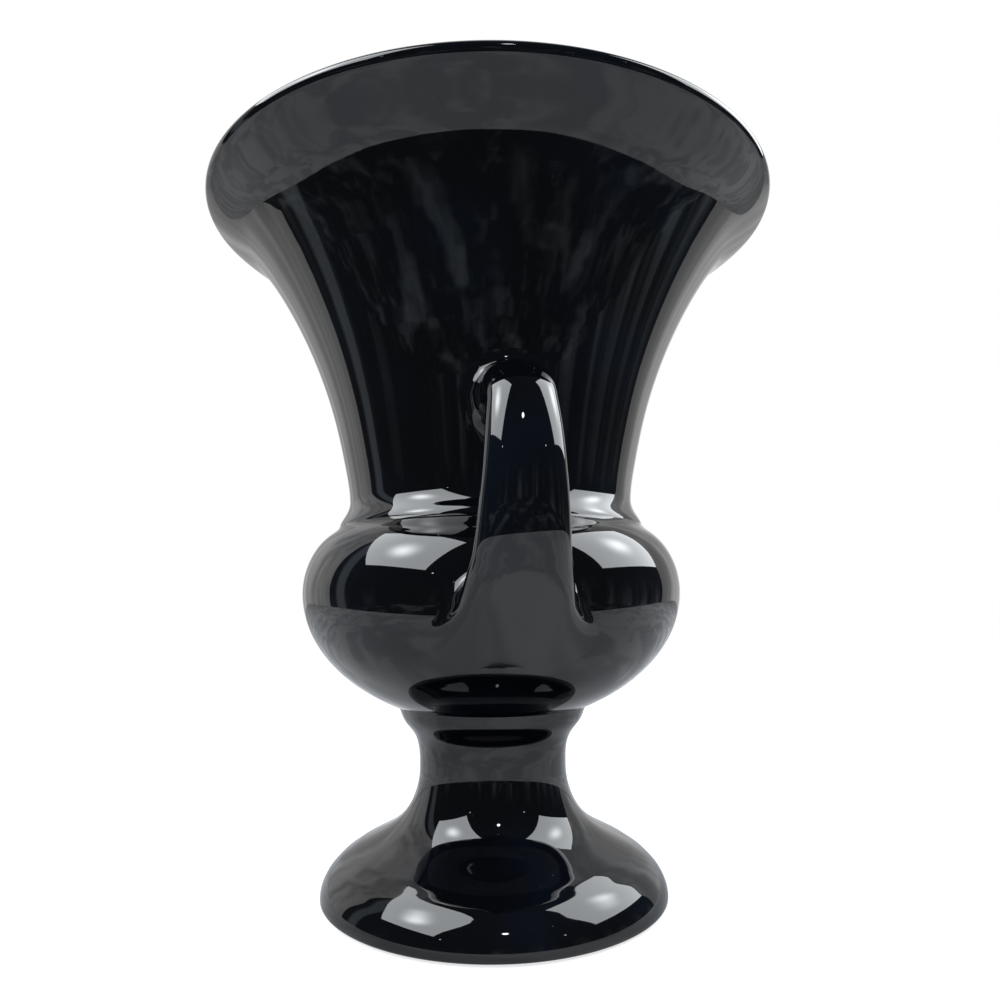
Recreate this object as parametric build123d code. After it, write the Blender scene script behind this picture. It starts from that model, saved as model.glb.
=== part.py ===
from build123d import *
import os
from math import acos, cos, degrees, radians, sin

# Double-handled urn vase in glazed ceramic, in millimetres.
# The foot ring stands on Z = 0 and the vase turns about Z.
# The front handle reaches towards -Y and the back handle towards +Y.
# Outlines are drawn as (radius, height) and turned about Z.
# A slope is the angle of an outline above the horizontal, in degrees.

# Seams between the luted sections
slip_gap = 0.2          # slip left in a seam between a handle and the wall
tenon_gap = 0.3         # slip left round and under a spigot or tenon

# Foot ring, foot, stem and knop ring
pedestal_height = 89.8
foot_radius = 82.3
foot_edge_height = 2.6
ring_radius = 78.5
ring_width = 9.0
ring_edge_slope = 21.0
foot_shoulder_radius = 70.8
foot_shoulder_height = 20.0
instep_radius = 43.3
instep_height = 37.8
stem_radius = 35.15
stem_waist_height = 61.0
stem_neck_radius = 37.5
stem_neck_drop = 13.0   # below the knop ring's top
knop_radius = 45.0
knop_throat_radius = 43.1
knop_throat_drop = 4.9  # below the knop ring's top
knop_slope = 63.0
foot_wall = 8.0
hollow_foot_slope = 73.0
stem_bore_radius = 27.0

# Round belly with its closed floor
belly_radius = 88.8
belly_rise = 53.5       # knop ring's top to the widest circle
shoulder_rise = 31.0    # widest circle to the seam under the bead
shoulder_radius = 84.2
shoulder_drop = 13.4    # below the seam
upper_shoulder_radius = 76.8
upper_shoulder_drop = 4.6
shoulder_slope = 120.0
bowl_wall = 7.0
floor_thickness = 9.0
tenon_length = 8.0

# Bead, waist, flared cup and everted lip
bead_radius = 71.7
bead_slope = 98.5
bead_crown_radius = 70.3
bead_crown_rise = 3.2
bead_neck_radius = 68.3
bead_neck_rise = 6.5
waist_radius = 66.8
waist_rise = 12.0       # seam to the waist
flare_rise = 115.4      # waist to the line where the lip begins
low_flare_radius = 68.6
low_flare_rise = 15.2
mid_flare_radius = 73.5
mid_flare_rise = 38.7
high_flare_radius = 83.1
high_flare_rise = 67.7
top_flare_radius = 98.35
top_flare_rise = 98.2
lip_root_radius = 110.6
lip_root_slope = 48.6
lip_edge_slope = 41.0
lip_rise = 18.3         # line where the lip begins to the top of the rim
rim_radius = 128.5
lip_thickness = 5.0
cup_wall = 6.0
spigot_length = 5.0
spigot_wall = 5.0

# Handles: half widths and half depths of the oval section
handle_height = 128.8   # upper root above the knop ring's top
elbow_radius = 16.5     # tight bend at the top of the loop
elbow_turn = 66.0       # degrees that the tight bend turns
sweep_radius = 58.5     # long bend from the elbow down to the belly
handle_reach = 112.5    # centre of the loop at its furthest from the axis
elbow_half_width = 12.8
handle_half_depth = 8.5
sweep_half_width = 14.6  # at the furthest point
sweep_turn = 74.0       # degrees from the furthest point until the bend is inside the belly
belly_root_half_width = 22.0
belly_flare = 5.0       # spread of the lower root into the belly
belly_flare_turn = 30.0  # degrees from the furthest point where that spread begins
cup_root_half_width = 13.4
cup_root_half_depth = 13.0
cup_flare = 4.5         # spread of the upper root into the cup
cup_flare_length = 7.0  # that spread's reach out of the cup's wall

# Levels and radii that follow from the sizes above
seat_level = pedestal_height
belly_level = seat_level + belly_rise
seam_level = belly_level + shoulder_rise
waist_level = seam_level + waist_rise
lip_root_level = waist_level + flare_rise
rim_level = lip_root_level + lip_rise
handle_level = seat_level + handle_height
cup_bore_radius = waist_radius - cup_wall
spigot_radius = cup_bore_radius + spigot_wall
socket_floor = seam_level - spigot_length - tenon_gap

# Places along an outline, as shares of it, where the inside of its wall is drawn
foot_wall_places = (0.62, 0.30)
shoulder_wall_places = (0.72, 0.45)
belly_wall_place = 0.4
cup_wall_places = (0.82, 0.62, 0.38, 0.15)

# Places where the oval sections of the handle are drawn
cup_root_steps = (0.0, 0.35, 0.6, 0.8)
elbow_shares = (0.2, 0.6, 1.0)
brow_sections = 2
sweep_sections = 6


def heading(slope):
    """Direction of an outline at a slope above the horizontal."""
    return Vector(cos(radians(slope)), sin(radians(slope)))


def beside(curve, place, gap):
    """Point at a distance from an upward curve, on the side of the axis."""
    along = curve % place
    return curve @ place + Vector(-along.Y, along.X) * gap


def turned(lines):
    """Solid of revolution from a closed outline of (radius, height) lines."""
    return revolve(Plane.XZ * make_face(lines), axis=Axis.Z)


def foot_outline():
    """Outside of the pedestal, from the foot's edge up to the knop ring."""
    foot_side = Spline(
        (foot_radius, foot_edge_height),
        (foot_shoulder_radius, foot_shoulder_height),
        (instep_radius, instep_height),
        (stem_radius, stem_waist_height),
        tangents=(heading(90), heading(90)),
    )
    knop_side = Spline(
        foot_side @ 1,
        (stem_neck_radius, seat_level - stem_neck_drop),
        (knop_throat_radius, seat_level - knop_throat_drop),
        (knop_radius, seat_level),
        tangents=(heading(90), heading(knop_slope)),
    )
    return foot_side, knop_side


def pedestal_foot():
    """Knop ring, stem and spreading foot, hollow and open underneath."""
    foot_side, knop_side = foot_outline()
    foot_edge = Spline(
        (ring_radius, 0),
        foot_side @ 0,
        tangents=(heading(ring_edge_slope), heading(90)),
    )
    top = Line(knop_side @ 1, (stem_bore_radius, seat_level))
    bore = Line(top @ 1, (stem_bore_radius, stem_waist_height))
    hollow = Spline(
        bore @ 1,
        *(beside(foot_side, place, foot_wall) for place in foot_wall_places),
        (ring_radius - ring_width, 0),
        tangents=(heading(-90), heading(-hollow_foot_slope)),
    )
    ring = Line(hollow @ 1, foot_edge @ 0)
    return turned([foot_edge, foot_side, knop_side, top, bore, hollow, ring])


def bowl_outline(grow=0.0):
    """Outside of the belly, from the knop ring up to the seam under the bead."""
    low_angle = degrees(acos(knop_radius / belly_radius))
    low_depth = belly_rise / sin(radians(low_angle))
    belly_side = EllipticalCenterArc(
        (0, belly_level),
        belly_radius + grow,
        low_depth + grow,
        start_angle=-low_angle,
        arc_size=low_angle,
    )
    shoulder_side = Spline(
        belly_side @ 1,
        (shoulder_radius + grow, seam_level - shoulder_drop),
        (upper_shoulder_radius + grow, seam_level - upper_shoulder_drop),
        (bead_radius + grow, seam_level),
        tangents=(heading(90), heading(shoulder_slope)),
    )
    return belly_side, shoulder_side


def belly_bowl():
    """Round bowl with a closed floor, a tenon below and a socket in its neck."""
    belly_side, shoulder_side = bowl_outline()
    socket_radius = spigot_radius + tenon_gap
    lip = Line(shoulder_side @ 1, (socket_radius, seam_level))
    socket = Line(lip @ 1, (socket_radius, socket_floor))
    ledge = Line(socket @ 1, (cup_bore_radius, socket_floor))
    neck = Spline(
        ledge @ 1,
        *(beside(shoulder_side, place, bowl_wall) for place in shoulder_wall_places),
        (belly_radius - bowl_wall, belly_level),
        tangents=(-heading(shoulder_slope), heading(-90)),
    )
    inside = Spline(
        (0, seat_level + floor_thickness),
        beside(belly_side, belly_wall_place, bowl_wall),
        neck @ 1,
        tangents=(heading(0), heading(90)),
    )
    tenon_radius = stem_bore_radius - tenon_gap
    axis_line = Line(inside @ 0, (0, seat_level - tenon_length))
    tenon_end = Line(axis_line @ 1, (tenon_radius, seat_level - tenon_length))
    tenon_side = Line(tenon_end @ 1, (tenon_radius, seat_level))
    seat = Line(tenon_side @ 1, belly_side @ 0)
    return turned(
        [belly_side, shoulder_side, lip, socket, ledge, neck, inside, axis_line]
        + [tenon_end, tenon_side, seat]
    )


def cup_outline(grow=0.0):
    """Outside of the cup: bead, waist and flare up to the root of the lip."""
    bead_side = Spline(
        (bead_radius + grow, seam_level),
        (bead_crown_radius + grow, seam_level + bead_crown_rise),
        (bead_neck_radius + grow, seam_level + bead_neck_rise),
        (waist_radius + grow, waist_level),
        tangents=(heading(bead_slope), heading(90)),
    )
    flare_side = Spline(
        bead_side @ 1,
        (low_flare_radius + grow, waist_level + low_flare_rise),
        (mid_flare_radius + grow, waist_level + mid_flare_rise),
        (high_flare_radius + grow, waist_level + high_flare_rise),
        (top_flare_radius + grow, waist_level + top_flare_rise),
        (lip_root_radius + grow, lip_root_level),
        tangents=(heading(90), heading(lip_root_slope)),
    )
    return bead_side, flare_side


def flared_cup():
    """Cup wall from the spigot and bead up to the rounded rim of the everted lip."""
    bead_side, flare_side = cup_outline()
    nose = lip_thickness / 2
    nose_centre = Vector(rim_radius - nose, rim_level - nose)
    edge_along = heading(lip_edge_slope)
    edge_normal = Vector(edge_along.Y, -edge_along.X)
    lip_below = Spline(
        flare_side @ 1,
        nose_centre + edge_normal * nose,
        tangents=(heading(lip_root_slope), edge_along),
    )
    rim_edge = ThreePointArc(
        lip_below @ 1, nose_centre + edge_along * nose, nose_centre - edge_normal * nose
    )
    lip_above = Spline(
        rim_edge @ 1,
        beside(flare_side, 1, lip_thickness),
        tangents=(-edge_along, -heading(lip_root_slope)),
    )
    inside = Spline(
        lip_above @ 1,
        *(beside(flare_side, place, cup_wall) for place in cup_wall_places),
        (cup_bore_radius, waist_level),
        tangents=(-heading(lip_root_slope), heading(-90)),
    )
    bore = Line(inside @ 1, (cup_bore_radius, seam_level - spigot_length))
    spigot_end = Line(bore @ 1, (spigot_radius, seam_level - spigot_length))
    spigot_side = Line(spigot_end @ 1, (spigot_radius, seam_level))
    seat = Line(spigot_side @ 1, bead_side @ 0)
    return turned(
        [bead_side, flare_side, lip_below, rim_edge, lip_above, inside, bore]
        + [spigot_end, spigot_side, seat]
    )


def body_block():
    """Cup and belly as one filled shape, grown by the slip left in a handle seam."""
    belly_side, shoulder_side = bowl_outline(slip_gap)
    bead_side, flare_side = cup_outline(slip_gap)
    top = Line(flare_side @ 1, (0, lip_root_level))
    axis_line = Line(top @ 1, (0, (belly_side @ 0).Y))
    bottom = Line(axis_line @ 1, belly_side @ 0)
    return turned([belly_side, shoulder_side, bead_side, flare_side, top, axis_line, bottom])


def oval(radius, level, dip, half_width, half_depth):
    """Oval section of the handle, square to its heading at a dip below the horizontal."""
    place = Plane(
        origin=(radius, 0, level),
        x_dir=(0, 1, 0),
        z_dir=(cos(radians(dip)), 0, -sin(radians(dip))),
    )
    return place * Ellipse(half_width, half_depth)


def handle():
    """Looped handle in the XZ plane, cut to the curve of the wall at both roots."""
    start_radius = mid_flare_radius - cup_wall
    hand_over = heading(90 - elbow_turn) * (sweep_radius - elbow_radius)
    elbow_centre = Vector(handle_reach - sweep_radius + hand_over.X, handle_level - elbow_radius)
    sweep_centre = elbow_centre - hand_over
    sections = []

    # Upper root: a short trumpet that opens onto the cup
    root_length = elbow_centre.X - start_radius
    spread_length = cup_wall + cup_flare_length
    for step in cup_root_steps:
        run = step * root_length
        spread = cup_flare * max(0.0, 1 - run / spread_length) ** 2
        half_width = cup_root_half_width + (elbow_half_width - cup_root_half_width) * step
        half_depth = cup_root_half_depth + (handle_half_depth - cup_root_half_depth) * step
        sections.append(
            oval(start_radius + run, handle_level, 0, half_width + spread, half_depth + spread)
        )

    # Elbow: the tight bend at the top of the loop
    for share in elbow_shares:
        dip = elbow_turn * share
        place = elbow_centre + heading(90 - dip) * elbow_radius
        sections.append(oval(place.X, place.Y, dip, elbow_half_width, handle_half_depth))

    # Long bend out to the furthest point
    for count in range(1, brow_sections + 1):
        share = count / brow_sections
        dip = elbow_turn + (90 - elbow_turn) * share
        place = sweep_centre + heading(90 - dip) * sweep_radius
        half_width = elbow_half_width + (sweep_half_width - elbow_half_width) * share
        sections.append(oval(place.X, place.Y, dip, half_width, handle_half_depth))

    # Long bend down to the belly, where the handle widens steadily
    for count in range(1, sweep_sections + 1):
        turn = sweep_turn * count / sweep_sections
        place = sweep_centre + heading(-turn) * sweep_radius
        widening = (belly_root_half_width - sweep_half_width) * turn / sweep_turn
        spread_share = (turn - belly_flare_turn) / (sweep_turn - belly_flare_turn)
        spread = belly_flare * max(0.0, spread_share)
        half_width = sweep_half_width + widening + spread
        sections.append(
            oval(place.X, place.Y, 90 + turn, half_width, handle_half_depth + spread)
        )
    return loft(sections) - body_block()


def main():
    os.makedirs("parts", exist_ok=True)
    loop = handle()
    pieces = {
        "flared_cup": flared_cup(),
        "belly_bowl": belly_bowl(),
        "pedestal_foot": pedestal_foot(),
        "front_handle": Rot(0, 0, -90) * loop,
        "back_handle": Rot(0, 0, 90) * loop,
    }
    for name, piece in pieces.items():
        export_step(piece, f"parts/{name}.step")


main()
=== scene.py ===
# %% [markdown]
# # A black double-handled urn vase
#
# The real object is a glazed ceramic vase in the shape of a campana urn: a wide cup with a turned
# out lip, a bead, a round belly, a knop ring, a short stem, a spreading foot and two looped handles.
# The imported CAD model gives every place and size. Here each piece is turned or swept again with
# finer and smoother faces, because a mirror-like glaze shows every flat face of a coarse mesh.

# %% Load the frame
from math import acos, cos, pi, radians, sin

import bmesh
import bpy
import numpy as np
from mathutils import Matrix, Vector
from mathutils.bvhtree import BVHTree


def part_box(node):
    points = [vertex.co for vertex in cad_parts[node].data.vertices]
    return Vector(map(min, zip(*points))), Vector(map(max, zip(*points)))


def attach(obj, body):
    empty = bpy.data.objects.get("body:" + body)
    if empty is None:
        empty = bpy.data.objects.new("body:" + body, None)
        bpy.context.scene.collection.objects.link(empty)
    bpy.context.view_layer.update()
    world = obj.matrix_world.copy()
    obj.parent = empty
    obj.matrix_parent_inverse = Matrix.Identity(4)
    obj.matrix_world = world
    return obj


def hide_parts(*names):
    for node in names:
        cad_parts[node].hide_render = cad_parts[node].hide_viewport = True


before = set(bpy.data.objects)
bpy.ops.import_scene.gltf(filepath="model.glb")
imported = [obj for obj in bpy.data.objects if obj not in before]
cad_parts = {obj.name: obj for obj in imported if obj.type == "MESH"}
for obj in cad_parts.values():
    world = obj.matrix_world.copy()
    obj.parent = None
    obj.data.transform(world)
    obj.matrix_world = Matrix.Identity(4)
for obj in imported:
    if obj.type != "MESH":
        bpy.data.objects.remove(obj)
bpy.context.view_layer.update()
mm = 0.001
weld = 0.01 * mm

# %% [markdown]
# ## Levels and widths
#
# Heights and radii that a CAD piece's box shows are read from the frame. The sizes in between are
# those of the CAD model's own outline, in millimetres, so that each visible piece lies on its solid.

# %% Sizes
seat_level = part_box("pedestal_foot")[1][2]
seam_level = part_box("belly_bowl")[1][2]
rim_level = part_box("flared_cup")[1][2]
foot_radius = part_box("pedestal_foot")[1][0]
belly_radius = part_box("belly_bowl")[1][0]
rim_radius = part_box("flared_cup")[1][0]

belly_level = seam_level - 31.0 * mm
waist_level = seam_level + 12.0 * mm
lip_root_level = rim_level - 18.3 * mm
handle_level = seat_level + 128.8 * mm
levels = (seat_level, belly_level, seam_level, waist_level, lip_root_level, rim_level)
print("levels in mm:", [round(v / mm, 1) for v in levels])

# %% [markdown]
# ## Drawing an outline
#
# A potter's profile bends smoothly from one size to the next. A cubic curve through a few named
# points, with a set direction at each end, gives that. The same curve is used in the CAD model.
# The points along it lie about a millimetre apart, close enough for clean reflections.

# %% Smooth runs of outline points
def heading(slope):
    """Direction of an outline at a slope in degrees above the horizontal."""
    return np.array((cos(radians(slope)), sin(radians(slope))))


def smooth_run(points, start_slope, end_slope, spacing=1.2 * mm):
    """Points along the cubic curve through named points, with set slopes at its two ends."""
    knots = np.array(points)
    chords = np.linalg.norm(np.diff(knots, axis=0), axis=1)
    rates = np.diff(knots, axis=0) / chords[:, None]
    count = len(knots)
    system = np.eye(count)
    right = np.zeros((count, 2))
    right[0], right[-1] = heading(start_slope), heading(end_slope)
    for i in range(1, count - 1):
        before, after = chords[i - 1], chords[i]
        system[i, i - 1:i + 2] = after, 2 * (before + after), before
        right[i] = 3 * (after * rates[i - 1] + before * rates[i])
    tangents = np.linalg.solve(system, right)
    run = [knots[0]]
    for i, chord in enumerate(chords):
        steps = max(2, round(chord / spacing))
        for t in np.linspace(0, 1, steps + 1)[1:]:
            run.append(
                knots[i] * (1 + 2 * t) * (1 - t) ** 2
                + tangents[i] * chord * t * (1 - t) ** 2
                + knots[i + 1] * t * t * (3 - 2 * t)
                + tangents[i + 1] * chord * t * t * (t - 1)
            )
    return np.array(run)


def beside(run, gap):
    """An upward run moved towards the axis by a gap."""
    along = np.gradient(run, axis=0)
    along /= np.linalg.norm(along, axis=1)[:, None]
    inward = np.stack((-along[:, 1], along[:, 0]), axis=1)
    return run + inward * gap


def at_share(run, share):
    """The point of a run at a share of its points."""
    return run[round(share * (len(run) - 1))]

# %% [markdown]
# ## The outlines of the three turned sections
#
# The foot spreads from the stem and rounds over to a dry ring. The belly's lower half is part of an
# ellipse. The cup opens slowly above the bead and then curls into the lip.

# %% Throwing rings
ring_fade = 10


def rippled(run, pitch, depth, first, last):
    """A run with shallow rings left by the fingers, between two shares of its length."""
    along = np.gradient(run, axis=0)
    lengths = np.linalg.norm(along, axis=1)
    outward = np.stack((along[:, 1], -along[:, 0]), axis=1) / lengths[:, None]
    reach = np.cumsum(lengths)
    share = reach / reach[-1]
    fade = np.clip((share - first) * ring_fade, 0, 1) * np.clip((last - share) * ring_fade, 0, 1)
    return run + outward * (depth * fade * np.sin(reach / pitch * 2 * pi))[:, None]

# %% Foot, stem and knop ring
ring_radius = 78.5 * mm
ring_width = 9.0 * mm
foot_edge_height = 2.6 * mm
stem_radius = 35.15 * mm
knop_radius = 45.0 * mm
foot_wall = 8.0 * mm
stem_bore_radius = 27.0 * mm
stem_waist_level = 61.0 * mm
ring_edge_slope = 21.0
knop_slope = 63.0
hollow_foot_slope = 73.0
fine_spacing = 0.5 * mm
hidden_spacing = 2.0 * mm

foot_edge = smooth_run(
    [(ring_radius, 0), (foot_radius, foot_edge_height)], ring_edge_slope, 90.0, fine_spacing
)
foot_side = smooth_run(
    [
        (foot_radius, foot_edge_height),
        (70.8 * mm, 20.0 * mm),
        (43.3 * mm, 37.8 * mm),
        (stem_radius, stem_waist_level),
    ],
    90.0,
    90.0,
)
knop_side = smooth_run(
    [
        (stem_radius, stem_waist_level),
        (37.5 * mm, seat_level - 13.0 * mm),
        (43.1 * mm, seat_level - 4.9 * mm),
        (knop_radius, seat_level),
    ],
    90.0,
    knop_slope,
)
foot_inside = beside(foot_side, foot_wall)
hollow = smooth_run(
    [
        (stem_bore_radius, stem_waist_level),
        at_share(foot_inside, 0.62),
        at_share(foot_inside, 0.30),
        (ring_radius - ring_width, 0),
    ],
    -90.0,
    -hollow_foot_slope,
    hidden_spacing,
)
print("foot outline:", len(foot_edge) + len(foot_side) + len(knop_side), "points outside")

# %% Belly
bead_radius = 71.7 * mm
bowl_wall = 7.0 * mm
floor_thickness = 9.0 * mm
tenon_length = 8.0 * mm
tenon_gap = 0.3 * mm
spigot_length = 5.0 * mm
shoulder_slope = 120.0
shoulder_spacing = 0.8 * mm

low_angle = acos(knop_radius / belly_radius)
low_depth = (belly_level - seat_level) / sin(low_angle)
belly_turns = np.linspace(-low_angle, 0, 64)
belly_side = np.stack(
    (belly_radius * np.cos(belly_turns), belly_level + low_depth * np.sin(belly_turns)), axis=1
)
shoulder_side = smooth_run(
    [
        (belly_radius, belly_level),
        (84.2 * mm, seam_level - 13.4 * mm),
        (76.8 * mm, seam_level - 4.6 * mm),
        (bead_radius, seam_level),
    ],
    90.0,
    shoulder_slope,
    shoulder_spacing,
)
print("belly outline:", len(belly_side) + len(shoulder_side), "points outside")

# %% Bead, cup and lip
waist_radius = 66.8 * mm
bead_slope = 98.5
lip_root_radius = 110.6 * mm
lip_root_slope = 48.6
lip_edge_slope = 41.0
lip_thickness = 5.0 * mm
cup_wall = 6.0 * mm
spigot_wall = 5.0 * mm
cup_bore_radius = waist_radius - cup_wall
spigot_radius = cup_bore_radius + spigot_wall

bead_side = smooth_run(
    [
        (bead_radius, seam_level),
        (70.3 * mm, seam_level + 3.2 * mm),
        (68.3 * mm, seam_level + 6.5 * mm),
        (waist_radius, waist_level),
    ],
    bead_slope,
    90.0,
    fine_spacing,
)
flare_side = smooth_run(
    [
        (waist_radius, waist_level),
        (68.6 * mm, waist_level + 15.2 * mm),
        (73.5 * mm, waist_level + 38.7 * mm),
        (83.1 * mm, waist_level + 67.7 * mm),
        (98.35 * mm, waist_level + 98.2 * mm),
        (lip_root_radius, lip_root_level),
    ],
    90.0,
    lip_root_slope,
)
nose = lip_thickness / 2
nose_centre = np.array((rim_radius - nose, rim_level - nose))
nose_turns = np.radians(np.linspace(lip_edge_slope - 90, lip_edge_slope + 90, 17))
rim_edge = nose_centre + nose * np.stack((np.cos(nose_turns), np.sin(nose_turns)), axis=1)
lip_below = smooth_run([flare_side[-1], rim_edge[0]], lip_root_slope, lip_edge_slope)
lip_above = smooth_run(
    [rim_edge[-1], beside(flare_side, lip_thickness)[-1]], lip_edge_slope + 180, lip_root_slope + 180
)
print("cup outline:", len(bead_side) + len(flare_side) + len(lip_below), "points outside")

# %% [markdown]
# ## Turning a section
#
# The potter's wheel is `bmesh.ops.spin`: the closed outline goes round the axis once. Points on the
# axis come out as many points in one place, so doubles are merged, and then the faces are turned to
# look outwards. Edges that meet at a real corner stay sharp, and all others are shaded smooth.

# %% Turned pieces
around = 288
sharp_bend = radians(35)


def finish_piece(name, bm):
    """Makes a closed bmesh into an object that rides on the vase."""
    bmesh.ops.remove_doubles(bm, verts=bm.verts, dist=weld)
    bmesh.ops.recalc_face_normals(bm, faces=bm.faces)
    for face in bm.faces:
        face.smooth = True
    for edge in bm.edges:
        if len(edge.link_faces) == 2 and edge.calc_face_angle(0.0) > sharp_bend:
            edge.smooth = False
    mesh = bpy.data.meshes.new(name)
    bm.to_mesh(mesh)
    bm.free()
    piece = bpy.data.objects.new(name, mesh)
    bpy.context.scene.collection.objects.link(piece)
    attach(piece, "root")
    print(name, "faces", len(mesh.polygons), "size mm", [round(v / mm, 1) for v in piece.dimensions])
    return piece


def turn(name, runs):
    """Turns a closed outline, given as runs of (radius, height), once round the axis."""
    outline = np.concatenate([np.atleast_2d(run) for run in runs])
    bm = bmesh.new()
    dots = [bm.verts.new((radius, 0, height)) for radius, height in outline]
    for first, second in zip(dots, dots[1:] + dots[:1]):
        if (first.co - second.co).length > weld:
            bm.edges.new((first, second))
    bmesh.ops.remove_doubles(bm, verts=bm.verts, dist=weld)
    bmesh.ops.spin(
        bm,
        geom=bm.verts[:] + bm.edges[:],
        cent=(0, 0, 0),
        axis=(0, 0, 1),
        angle=2 * pi,
        steps=around,
        use_merge=True,
    )
    return finish_piece(name, bm)


ring_pitch = 9.0 * mm
ring_depth = 0.05 * mm
foot_rings = rippled(foot_side, ring_pitch, ring_depth, 0.10, 0.45)
foot_piece = turn(
    "urn_foot",
    [foot_edge, foot_rings[1:], knop_side[1:], (stem_bore_radius, seat_level), hollow],
)
socket_radius = spigot_radius + tenon_gap
neck_slope = -60.0
shoulder_inside = beside(shoulder_side, bowl_wall)
neck = smooth_run(
    [
        (cup_bore_radius, seam_level - spigot_length - tenon_gap),
        at_share(shoulder_inside, 0.72),
        at_share(shoulder_inside, 0.45),
        (belly_radius - bowl_wall, belly_level),
    ],
    neck_slope,
    -90.0,
    hidden_spacing,
)
belly_inside = smooth_run(
    [
        (belly_radius - bowl_wall, belly_level),
        at_share(beside(belly_side, bowl_wall), 0.4),
        (0, seat_level + floor_thickness),
    ],
    -90.0,
    180.0,
    hidden_spacing,
)
belly_piece = turn(
    "urn_belly",
    [
        belly_side,
        shoulder_side[1:],
        (socket_radius, seam_level),
        (socket_radius, neck[0][1]),
        neck,
        belly_inside[1:],
        (0, seat_level - tenon_length),
        (stem_bore_radius - tenon_gap, seat_level - tenon_length),
        (stem_bore_radius - tenon_gap, seat_level),
    ],
)
flare_inside = beside(flare_side, cup_wall)
cup_inside = smooth_run(
    [lip_above[-1]]
    + [at_share(flare_inside, share) for share in (0.82, 0.62, 0.38, 0.15)]
    + [(cup_bore_radius, waist_level)],
    lip_root_slope + 180,
    -90.0,
    hidden_spacing,
)
cup_piece = turn(
    "urn_cup",
    [
        bead_side,
        flare_side[1:],
        lip_below[1:],
        rim_edge[1:],
        lip_above[1:],
        cup_inside[1:],
        (cup_bore_radius, seam_level - spigot_length),
        (spigot_radius, seam_level - spigot_length),
        (spigot_radius, seam_level),
    ],
)

# %% [markdown]
# ## The looped handles
#
# Each handle is pressed in a mould as an oval strap, bent into a loop and stuck to the cup and the
# belly with slip. It is an oval ring carried along a path: straight out of the cup, round a tight
# elbow, and down a long bend that widens into the belly. Where it meets a wall, the slip and the
# glaze leave a small rounded corner, so each line along the handle is bent into the wall there.

# %% Path of a handle
handle_reach = 112.5 * mm
elbow_radius = 16.5 * mm
elbow_turn = 66.0
sweep_radius = 58.5 * mm
sweep_turn = 74.0
strap_half_width = 12.8 * mm
strap_half_depth = 8.5 * mm
sweep_half_width = 14.6 * mm
cup_root_half_width = 13.4 * mm
cup_root_half_depth = 13.0 * mm
belly_root_half_width = 22.0 * mm
belly_flare = 5.0 * mm
belly_flare_turn = 30.0
root_start = 67.5 * mm
ring_points = 64
hand_over = heading(90 - elbow_turn) * (sweep_radius - elbow_radius)
elbow_centre = np.array((handle_reach - sweep_radius + hand_over[0], handle_level - elbow_radius))
sweep_centre = elbow_centre - hand_over


def root_sections(count):
    """Sections from inside the cup's wall out to the elbow: (place, dip, half width, half depth)."""
    for step in np.linspace(0, 1, count, endpoint=False):
        place = np.array((root_start + (elbow_centre[0] - root_start) * step, handle_level))
        half_width = cup_root_half_width + (strap_half_width - cup_root_half_width) * step
        half_depth = cup_root_half_depth + (strap_half_depth - cup_root_half_depth) * step
        yield place, 0.0, half_width, half_depth


def elbow_sections(count):
    """Sections round the tight elbow."""
    for dip in np.linspace(0, elbow_turn, count, endpoint=False):
        yield elbow_centre + heading(90 - dip) * elbow_radius, dip, strap_half_width, strap_half_depth


def brow_sections(count):
    """Sections round the long bend, out to the furthest point."""
    for share in np.linspace(0, 1, count, endpoint=False):
        dip = elbow_turn + (90 - elbow_turn) * share
        half_width = strap_half_width + (sweep_half_width - strap_half_width) * share
        yield sweep_centre + heading(90 - dip) * sweep_radius, dip, half_width, strap_half_depth


def sweep_sections(count):
    """Sections down the long bend, until they are inside the belly."""
    for turned in np.linspace(0, sweep_turn, count):
        widening = (belly_root_half_width - sweep_half_width) * turned / sweep_turn
        spread = belly_flare * max(0.0, (turned - belly_flare_turn) / (sweep_turn - belly_flare_turn))
        place = sweep_centre + heading(-turned) * sweep_radius
        yield place, 90 + turned, sweep_half_width + widening + spread, strap_half_depth + spread


def section_matrix(place, dip, half_width, half_depth):
    """Carries a flat unit circle to a section of the front handle, which reaches towards -Y."""
    across = Vector((1, 0, 0)) * half_width
    along = Vector((0, -cos(radians(dip)), -sin(radians(dip))))
    depth = Vector((0, -sin(radians(dip)), cos(radians(dip)))) * half_depth
    matrix = Matrix((across, depth, along)).transposed().to_4x4()
    matrix.translation = Vector((0, -place[0], place[1]))
    return matrix


# %% Handles landed on the walls
def wall_tree():
    """Outer walls of the cup and the belly, to find where a line along the handle meets them."""
    bm = bmesh.new()
    bm.from_mesh(cup_piece.data)
    bm.from_mesh(belly_piece.data)
    tree = BVHTree.FromBMesh(bm)
    bm.free()
    return tree


walls = wall_tree()
fillet_steps = 16
cup_fillet = 8.0 * mm
belly_side_fillet = 8.0 * mm
belly_toe_fillet = 42.0 * mm
knee_lift = 0.9
toe_limit = 16.0 * mm
toe_growth = 1.5
toe_sink = 0.05 * mm


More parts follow.
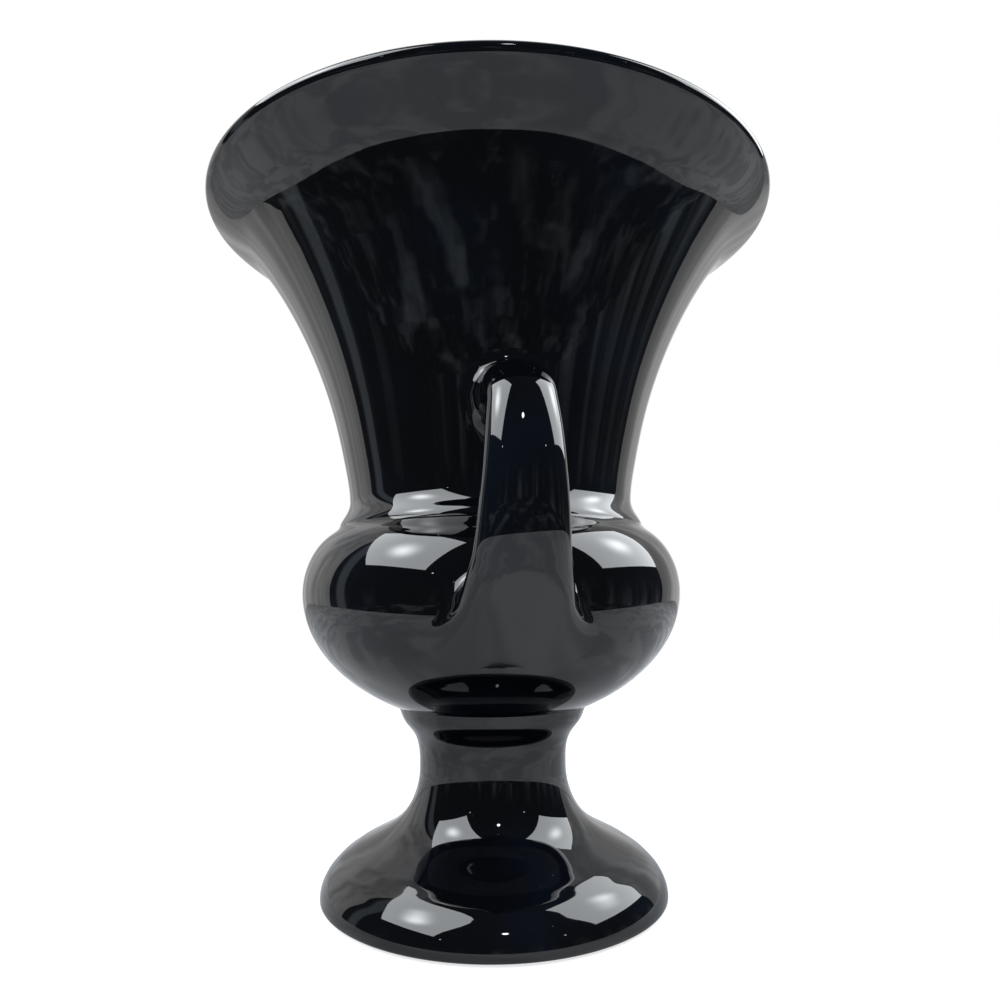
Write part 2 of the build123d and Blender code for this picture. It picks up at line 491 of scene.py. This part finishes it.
def landed(lines, short, long):
    """Bends lines that run into a wall, so that they leave it in a rounded corner.

    Each line starts out in the open. It is cut a fillet's length before the wall, and its last
    points follow a curve that ends flat on the wall, away from the handle's middle. The fillet is
    short at the top and sides of the root, and grows long at its lowest point.
    """
    hits = []
    for line in lines:
        for first, second in zip(line, line[1:]):
            step = second - first
            place, normal, _, _ = walls.ray_cast(first, step.normalized(), step.length)
            if place is not None:
                hits.append((place, normal))
                break
    middle = sum((place for place, _ in hits), Vector()) / len(hits)
    lowest = max(middle.z - place.z for place, _ in hits)
    rounded = []
    for line, (corner, normal) in zip(lines, hits):
        fillet = short + (long - short) * max(0.0, (middle.z - corner.z) / lowest) ** toe_growth
        outward = corner - middle
        outward = (outward - normal * outward.dot(normal)).normalized()
        toe = corner + outward * min(fillet, toe_limit)
        toe = walls.find_nearest(toe)[0] - normal * toe_sink
        kept = [
            point
            for point in line
            if (point - corner).length > fillet and (point - corner).dot(normal) > 0
        ]
        heel = kept[-1]
        knee = corner.lerp((heel + toe) / 2, knee_lift * (fillet - short) / max(long - short, mm))
        curve = [
            heel * (1 - t) ** 2 + knee * 2 * t * (1 - t) + toe * t * t
            for t in np.linspace(0, 1, fillet_steps + 1)[1:]
        ]
        rounded.append((kept, curve))
    return rounded


def handle_bmesh():
    """Tube of oval rings whose first and last lines are landed on the cup and on the belly."""
    sections = [*root_sections(20), *elbow_sections(24), *brow_sections(30), *sweep_sections(64)]
    bm = bmesh.new()
    rings = []
    for section in sections:
        made = bmesh.ops.create_circle(
            bm, segments=ring_points, radius=1.0, matrix=section_matrix(*section)
        )
        rings.append(made["verts"])
    lines = [[ring[i].co.copy() for ring in rings] for i in range(ring_points)]
    middle = len(rings) // 2
    upper = landed([line[middle::-1] for line in lines], cup_fillet, cup_fillet)
    lower = landed([line[middle:] for line in lines], belly_side_fillet, belly_toe_fillet)
    for i in range(ring_points):
        up_kept, up_curve = upper[i]
        down_kept, down_curve = lower[i]
        path = up_curve[::-1] + up_kept[::-1] + down_kept[1:] + down_curve
        spans = np.array([(b - a).length for a, b in zip(path, path[1:])])
        reach = np.concatenate(([0.0], np.cumsum(spans)))
        shares = np.linspace(0, 1, len(rings))
        for axis in range(3):
            values = np.interp(shares * reach[-1], reach, [point[axis] for point in path])
            for ring, value in zip(rings, values):
                ring[i].co[axis] = value
    loops = [list(dict.fromkeys(edge for dot in ring for edge in dot.link_edges)) for ring in rings]
    for first, second in zip(loops, loops[1:]):
        bmesh.ops.bridge_loops(bm, edges=first + second)
    for loop in (loops[0], loops[-1]):
        bmesh.ops.holes_fill(bm, edges=loop, sides=0)
    return bm


front_bm = handle_bmesh()
back_bm = front_bm.copy()
bmesh.ops.rotate(back_bm, verts=back_bm.verts, cent=(0, 0, 0), matrix=Matrix.Rotation(pi, 3, "Z"))
front_handle_piece = finish_piece("urn_front_handle", front_bm)
back_handle_piece = finish_piece("urn_back_handle", back_bm)

# %% [markdown]
# ## Which CAD nodes the pieces stand for
#
# Each visible piece takes the place of its CAD node, which stays for collision and mass.

# %% Replace the nodes
for piece, node, slot in (
    (cup_piece, "flared_cup", "cup_glaze"),
    (belly_piece, "belly_bowl", "belly_glaze"),
    (foot_piece, "pedestal_foot", "foot_glaze"),
    (front_handle_piece, "front_handle", "handle_glaze"),
    (back_handle_piece, "back_handle", "handle_glaze"),
):
    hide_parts(node)

# %% [markdown]
# ## Writing a finish as arithmetic
#
# A material is a graph of nodes. A small class wraps an output socket and overloads the arithmetic
# signs, so that a finish reads as a formula and each sign adds its Math node.

# %% Finish recipes
class Signal:
    """An output socket that takes part in arithmetic."""

    def __init__(self, recipe, socket):
        self.recipe = recipe
        self.socket = socket

    def _maths(self, operation, first, second):
        return self.recipe.node("ShaderNodeMath", {"operation": operation}, {0: first, 1: second})

    def __add__(self, other):
        return self._maths("ADD", self, other)

    def __rsub__(self, other):
        return self._maths("SUBTRACT", other, self)

    def __mul__(self, other):
        return self._maths("MULTIPLY", self, other)

    __radd__ = __add__
    __rmul__ = __mul__


class Recipe:
    """A node tree that is filled one node at a time."""

    def __init__(self, tree):
        self.tree = tree
        tree.nodes.clear()

    def node(self, kind, settings=(), sockets=(), output=0):
        """Adds a node: its settings first, then the values or links of its sockets."""
        made = self.tree.nodes.new(kind)
        for key, value in dict(settings).items():
            setattr(made, key, value)
        for key, value in dict(sockets).items():
            if isinstance(value, Signal):
                self.tree.links.new(value.socket, made.inputs[key])
            else:
                made.inputs[key].default_value = value
        return Signal(self, made.outputs[output]) if len(made.outputs) else None

    def mix_colour(self, factor, first, second):
        """Colour between two, by a factor."""
        return self.node(
            "ShaderNodeMix",
            {"data_type": "RGBA"},
            {"Factor": factor, 6: first, 7: second},
            output=2,
        )

    def noise(self, place, scale, detail=2.0, roughness=0.5, distortion=0.0):
        """Smooth noise from 0 to 1 at a scale in features per metre."""
        return self.node(
            "ShaderNodeTexNoise",
            {},
            {
                "Vector": place,
                "Scale": scale,
                "Detail": detail,
                "Roughness": roughness,
                "Distortion": distortion,
            },
        )

    def ramp(self, value, low, high):
        """0 below a low value and 1 above a high one, with a soft step between."""
        return self.node(
            "ShaderNodeMapRange",
            {"interpolation_type": "SMOOTHSTEP"},
            {"Value": value, "From Min": low, "From Max": high},
        )


def new_material(name):
    """A material with an empty recipe."""
    material = bpy.data.materials.new(name)
    material.use_nodes = True
    return material, Recipe(material.node_tree)

# %% [markdown]
# ## The glaze
#
# A deep black glaze with a breath of cobalt blue where it is thick. It was fired to a full gloss,
# and it is never quite flat: it sags a little over the wheel marks, so the edges of reflections
# waver. Fine dust, rubbed spots and hair-fine scratches only show in the bright reflections.

# %% Black glaze
def black_glaze(name, wheel_marks):
    """Gloss black glaze; wheel marks say how strongly rings from throwing show through."""
    material, recipe = new_material(name)
    place = recipe.node("ShaderNodeTexCoord", output=3)
    pooled = recipe.noise(place, 22.0, detail=3.0)
    blue = recipe.ramp(pooled, 0.42, 0.72)
    tone = recipe.mix_colour(blue, (0.0012, 0.0014, 0.0020, 1), (0.0016, 0.0026, 0.0052, 1))
    specks = recipe.ramp(recipe.noise(place, 900.0, detail=1.0), 0.80, 0.84)
    tone = recipe.mix_colour(specks * 0.5, tone, (0.05, 0.052, 0.055, 1))
    smears = recipe.ramp(recipe.noise(place, 35.0, detail=4.0, distortion=0.6), 0.50, 0.78)
    scratch_place = recipe.node(
        "ShaderNodeMapping",
        {},
        {"Vector": place, "Scale": (1.0, 1.0, 14.0), "Rotation": (0.3, 0.2, 0.1)},
    )
    scratches = recipe.ramp(recipe.noise(scratch_place, 160.0, detail=2.0, distortion=1.5), 0.70, 0.76)
    gloss = 0.025 + smears * 0.035 + scratches * 0.05 + specks * 0.3
    sag = recipe.noise(place, 26.0, detail=1.0)
    orange_peel = recipe.noise(place, 240.0, detail=2.0)
    height = sag * 0.55 + orange_peel * 0.012 + specks * 0.05
    if wheel_marks:
        flat_place = recipe.node("ShaderNodeMapping", {}, {"Vector": place, "Scale": (0.06, 0.06, 1.0)})
        height = height + recipe.noise(flat_place, 110.0, detail=1.0) * wheel_marks
    relief = recipe.node(
        "ShaderNodeBump", {}, {"Height": height, "Strength": 0.6, "Distance": 0.0006}
    )
    shader = recipe.node(
        "ShaderNodeBsdfPrincipled",
        {},
        {"Base Color": tone, "Roughness": gloss, "Normal": relief, "IOR": 1.53},
    )
    recipe.node("ShaderNodeOutputMaterial", {}, {"Surface": shader})
    return material


# %% Dry clay of the foot ring
def dry_clay():
    """Buff fired clay, wiped clean of glaze where the vase stands."""
    material, recipe = new_material("dry_clay")
    place = recipe.node("ShaderNodeTexCoord", output=3)
    grain = recipe.noise(place, 1400.0, detail=4.0, roughness=0.7)
    worn = recipe.ramp(recipe.noise(place, 90.0, detail=3.0), 0.40, 0.70)
    tone = recipe.mix_colour(grain, (0.52, 0.44, 0.35, 1), (0.70, 0.63, 0.53, 1))
    tone = recipe.mix_colour(worn * 0.5, tone, (0.30, 0.25, 0.20, 1))
    relief = recipe.node("ShaderNodeBump", {}, {"Height": grain, "Strength": 0.5, "Distance": 0.0003})
    shader = recipe.node(
        "ShaderNodeBsdfPrincipled",
        {},
        {"Base Color": tone, "Roughness": 0.85 - worn * 0.15, "Normal": relief},
    )
    recipe.node("ShaderNodeOutputMaterial", {}, {"Surface": shader})
    return material


# %% Finishes on the pieces
clay = dry_clay()
for piece, wheel_marks in (
    (cup_piece, 0.30),
    (belly_piece, 0.0),
    (foot_piece, 0.0),
    (front_handle_piece, 0.0),
    (back_handle_piece, 0.0),
):
    piece.data.materials.append(black_glaze(piece.name + "_glaze", wheel_marks))
foot_piece.data.materials.append(clay)
dry_level = 0.2 * mm
dry_faces = 0
for face in foot_piece.data.polygons:
    if face.center.z < dry_level:
        face.material_index = 1
        dry_faces += 1
print("dry foot ring faces:", dry_faces)

# %% [markdown]
# ## The studio
#
# A gloss black object shows mostly what stands round it. It stands near the front edge of a white
# table, between two bright soft boxes, in front of a dark room. White paper closes the sides and
# the back. The dark room is a bowl that only reflections see.

# %% White table
azimuth = radians(6.1)
camera_distance = 379.64 * mm
camera_height = 138.54 * mm
aside = Vector((cos(azimuth), -sin(azimuth), 0))
away = Vector((sin(azimuth), cos(azimuth), 0))
upward = Vector((0, 0, 1))


def studio_place(right, back, height):
    """A place given in millimetres to the right, away from the camera and up."""
    return aside * (right * mm) + away * (back * mm) + upward * (height * mm)


def stage_panel(name, corners, material):
    """A flat panel of the studio through its corners."""
    bm = bmesh.new()
    bm.faces.new([bm.verts.new(studio_place(*corner)) for corner in corners])
    mesh = bpy.data.meshes.new(name)
    bm.to_mesh(mesh)
    bm.free()
    mesh.materials.append(material)
    panel = bpy.data.objects.new(name, mesh)
    bpy.context.scene.collection.objects.link(panel)
    return panel


def white_paper():
    """Pale table paper that stays white to the camera and keeps the vase's shadow."""
    material, recipe = new_material("white_paper")
    camera_ray = recipe.node("ShaderNodeLightPath", output=0)
    glossy_ray = recipe.node("ShaderNodeLightPath", output=3)
    transmission_ray = recipe.node("ShaderNodeLightPath", output=6)
    seen = camera_ray * 0.72 + (glossy_ray + transmission_ray) * 0.10
    glow = recipe.node("ShaderNodeEmission", {}, {"Color": (1, 1, 1, 1), "Strength": seen})
    place = recipe.node("ShaderNodeTexCoord", output=3)
    # Painted light and shade: the paper's tone is painted lighter and darker in soft patches, as
    # creases would be lit and shaded.
    crease_light_and_shade = recipe.ramp(recipe.noise(place, 7.0, detail=2.0, distortion=1.2), 0.40, 0.62)
    tone = recipe.mix_colour(crease_light_and_shade, (0.31, 0.32, 0.34, 1), (0.46, 0.46, 0.47, 1))
    paper = recipe.node("ShaderNodeBsdfDiffuse", {}, {"Color": tone})
    both = recipe.node("ShaderNodeAddShader", {}, {0: paper, 1: glow})
    recipe.node("ShaderNodeOutputMaterial", {}, {"Surface": both})
    return material


paper_front = -350.0
paper_curve = 0.00056
paper_reach = 2000.0
paper_back = 2400.0
front_edge = [
    (x, paper_front + paper_curve * x * x, 0) for x in np.linspace(-paper_reach, paper_reach, 61)
]
stage_panel(
    "table",
    front_edge + [(paper_reach, paper_back, 0), (-paper_reach, paper_back, 0)],
    white_paper(),
)

# %% Soft boxes and lamp
daylight = (0.93, 0.97, 1.0)


def lamp_cloth(name, strength, centre, spread, hot_rise=2.0):
    """Glowing cloth of a soft box, brighter round the lamp behind it."""
    material, recipe = new_material(name)
    place = recipe.node("ShaderNodeTexCoord", output=3)
    gap = recipe.node(
        "ShaderNodeVectorMath", {"operation": "DISTANCE"}, {0: place, 1: centre}, output=1
    )
    hot = 1 - recipe.ramp(gap, 0.0, spread)
    brightest = 1 + hot_rise
    dim = tuple(part / brightest for part in daylight) + (1,)
    tint = recipe.mix_colour(hot * hot, dim, daylight + (1,))
    shader = recipe.node(
        "ShaderNodeEmission", {}, {"Color": tint, "Strength": strength * brightest}
    )
    recipe.node("ShaderNodeOutputMaterial", {}, {"Surface": shader})
    return material


left_corners = [(-1400, -204, 850), (-900, -1120, 830), (-230, -560, 1224), (-720, 361, 1160)]
right_corners = [(1350, 658, 560), (1080, -430, 620), (560, -330, 1319), (896, 753, 1240)]
left_centre = studio_place(*np.mean(left_corners, axis=0))
right_centre = studio_place(*np.mean(right_corners, axis=0))
box_strength = 6.0
hot_spread = 0.35
left_cloth = lamp_cloth("left_cloth", box_strength, left_centre, hot_spread)
right_cloth = lamp_cloth("right_cloth", box_strength, right_centre, hot_spread, 1.4)
left_box = stage_panel("left_soft_box", left_corners, left_cloth)
right_box = stage_panel("right_soft_box", right_corners, right_cloth)

# %% Round lamp above the camera
def round_lamp(name, place, radius, material):
    """A small glowing disc that faces the vase."""
    bm = bmesh.new()
    facing = (-place).to_track_quat("Z", "Y").to_matrix().to_4x4()
    bmesh.ops.create_circle(
        bm, cap_ends=True, segments=32, radius=radius, matrix=Matrix.Translation(place) @ facing
    )
    mesh = bpy.data.meshes.new(name)
    bm.to_mesh(mesh)
    bm.free()
    mesh.materials.append(material)
    lamp = bpy.data.objects.new(name, mesh)
    bpy.context.scene.collection.objects.link(lamp)
    lamp.visible_camera = False
    return lamp


lamp_place = studio_place(140, -1080, 1050)
lamp_glow = lamp_cloth("lamp_glow", 16.0, lamp_place, 0.1)
round_lamp("round_lamp", lamp_place, 45 * mm, lamp_glow)
round_lamp("left_pilot_lamp", studio_place(-760, -1150, 700), 14 * mm, lamp_glow)
round_lamp("right_pilot_lamp", studio_place(900, -900, 640), 14 * mm, lamp_glow)

# %% Dark room behind the camera
room_brightest = 1.5


def dark_room_material():
    """Room that glows though no lamp lights it: painted light on soft upright folds of dark cloth,
    stronger low down, and on a grey curtain at its left end.
    """
    material, recipe = new_material("dark_room")
    place = recipe.node("ShaderNodeTexCoord", output=3)
    upright = recipe.node("ShaderNodeMapping", {}, {"Vector": place, "Scale": (1.0, 1.0, 0.12)})
    lit_folds = recipe.ramp(recipe.noise(upright, 2.6, detail=3.0, distortion=0.4), 0.48, 0.80)
    lit_fine_folds = recipe.ramp(recipe.noise(upright, 9.0, detail=2.0), 0.55, 0.80)
    height = recipe.node("ShaderNodeSeparateXYZ", {}, {"Vector": place}, output=2)
    low = 1 - recipe.ramp(height, -1.2, 0.9)
    depth, side = (
        recipe.node(
            "ShaderNodeVectorMath",
            {"operation": "DOT_PRODUCT"},
            {0: place, 1: direction},
            output=1,
        )
        for direction in (away, aside)
    )
    lit_curtain = recipe.ramp(depth, 0.02, 0.08) * (1 - recipe.ramp(depth, 0.26, 0.40))
    lit_curtain = lit_curtain * (1 - recipe.ramp(side, -0.5, 0.5))
    # The room's brightness is painted light: a glow on the folds, stronger low down, and on the
    # curtain.
    light = 0.055 + lit_folds * low * 0.75 + lit_fine_folds * low * 0.22 + lit_curtain * 0.40
    tint = recipe.mix_colour(light * (1 / room_brightest), (0, 0, 0, 1), (0.80, 0.90, 1.0, 1))
    shader = recipe.node("ShaderNodeEmission", {}, {"Color": tint, "Strength": room_brightest})
    recipe.node("ShaderNodeOutputMaterial", {}, {"Surface": shader})
    return material


room_radius = 2.2
floor_radius = 2400.0
floor_drop = 250.0
left_end, right_end = radians(-106), radians(117)
bm = bmesh.new()
arc = [
    bm.verts.new((0, -room_radius * cos(angle), room_radius * sin(angle)))
    for angle in np.radians(np.linspace(-60, 88, 24))
]
for first, second in zip(arc, arc[1:]):
    bm.edges.new((first, second))
bmesh.ops.rotate(
    bm, verts=bm.verts, cent=(0, 0, 0), matrix=Matrix.Rotation(left_end - azimuth, 3, "Z")
)
bmesh.ops.spin(
    bm,
    geom=bm.verts[:] + bm.edges[:],
    cent=(0, 0, 0),
    axis=(0, 0, 1),
    angle=right_end - left_end,
    steps=48,
)
room_mesh = bpy.data.meshes.new("dark_room")
bm.to_mesh(room_mesh)
bm.free()
room_mesh.materials.append(dark_room_material())
room = bpy.data.objects.new("dark_room", room_mesh)
bpy.context.scene.collection.objects.link(room)
floor_edge = [
    (floor_radius * sin(bearing), floor_radius * cos(bearing), -floor_drop)
    for bearing in np.linspace(0, 2 * pi, 48, endpoint=False)
]
room_floor = stage_panel("dark_floor", floor_edge, room_mesh.materials[0])
for panel in (left_box, right_box, room, room_floor):
    panel.visible_camera = False
for panel in (room, room_floor):
    panel.visible_diffuse = False
    panel.visible_shadow = False

# %% White surroundings
world = bpy.data.worlds.new("white_surroundings")
bpy.context.scene.world = world
world.use_nodes = True
recipe = Recipe(world.node_tree)
seen = recipe.node("ShaderNodeLightPath", output=0)
mirrored = recipe.node("ShaderNodeLightPath", output=3)
through = recipe.node("ShaderNodeLightPath", output=6)
plainly = seen + mirrored + through
strength = recipe.node("ShaderNodeMath", {"operation": "MINIMUM"}, {0: plainly, 1: 1.0}) * 0.2 + 0.8
outlook = recipe.node("ShaderNodeTexCoord", output=0)
drape = recipe.node("ShaderNodeMapping", {}, {"Vector": outlook, "Scale": (1.0, 1.0, 0.15)})
shade = recipe.ramp(recipe.noise(drape, 5.0, detail=2.0), 0.35, 0.65)
folded = mirrored * (1 - shade) * 0.45
tint = recipe.mix_colour(folded, (1, 1, 1, 1), (0, 0, 0, 1))
background = recipe.node("ShaderNodeBackground", {}, {"Color": tint, "Strength": strength})
recipe.node("ShaderNodeOutputWorld", {}, {"Surface": background})

# %% [markdown]
# ## The camera
#
# The photograph was taken from close by with a wide lens held level, a little below the middle of
# the belly. The lens is shifted so that the whole vase is in the frame.

# %% Camera
roll = 0.009
lens_pixels, frame_pixels = 785.0, 1000.0
camera_data = bpy.data.cameras.new("camera")
camera_data.sensor_width = 36.0
camera_data.lens = lens_pixels / frame_pixels * camera_data.sensor_width
camera_data.shift_x = 0.00865
camera_data.shift_y = 0.1032
camera_data.clip_start = 0.01
camera = bpy.data.objects.new("camera", camera_data)
bpy.context.scene.collection.objects.link(camera)
camera.location = -away * camera_distance + upward * camera_height
camera.rotation_euler = (radians(90), roll, -azimuth)
bpy.context.scene.camera = camera
bpy.context.scene.view_settings.view_transform = "Standard"
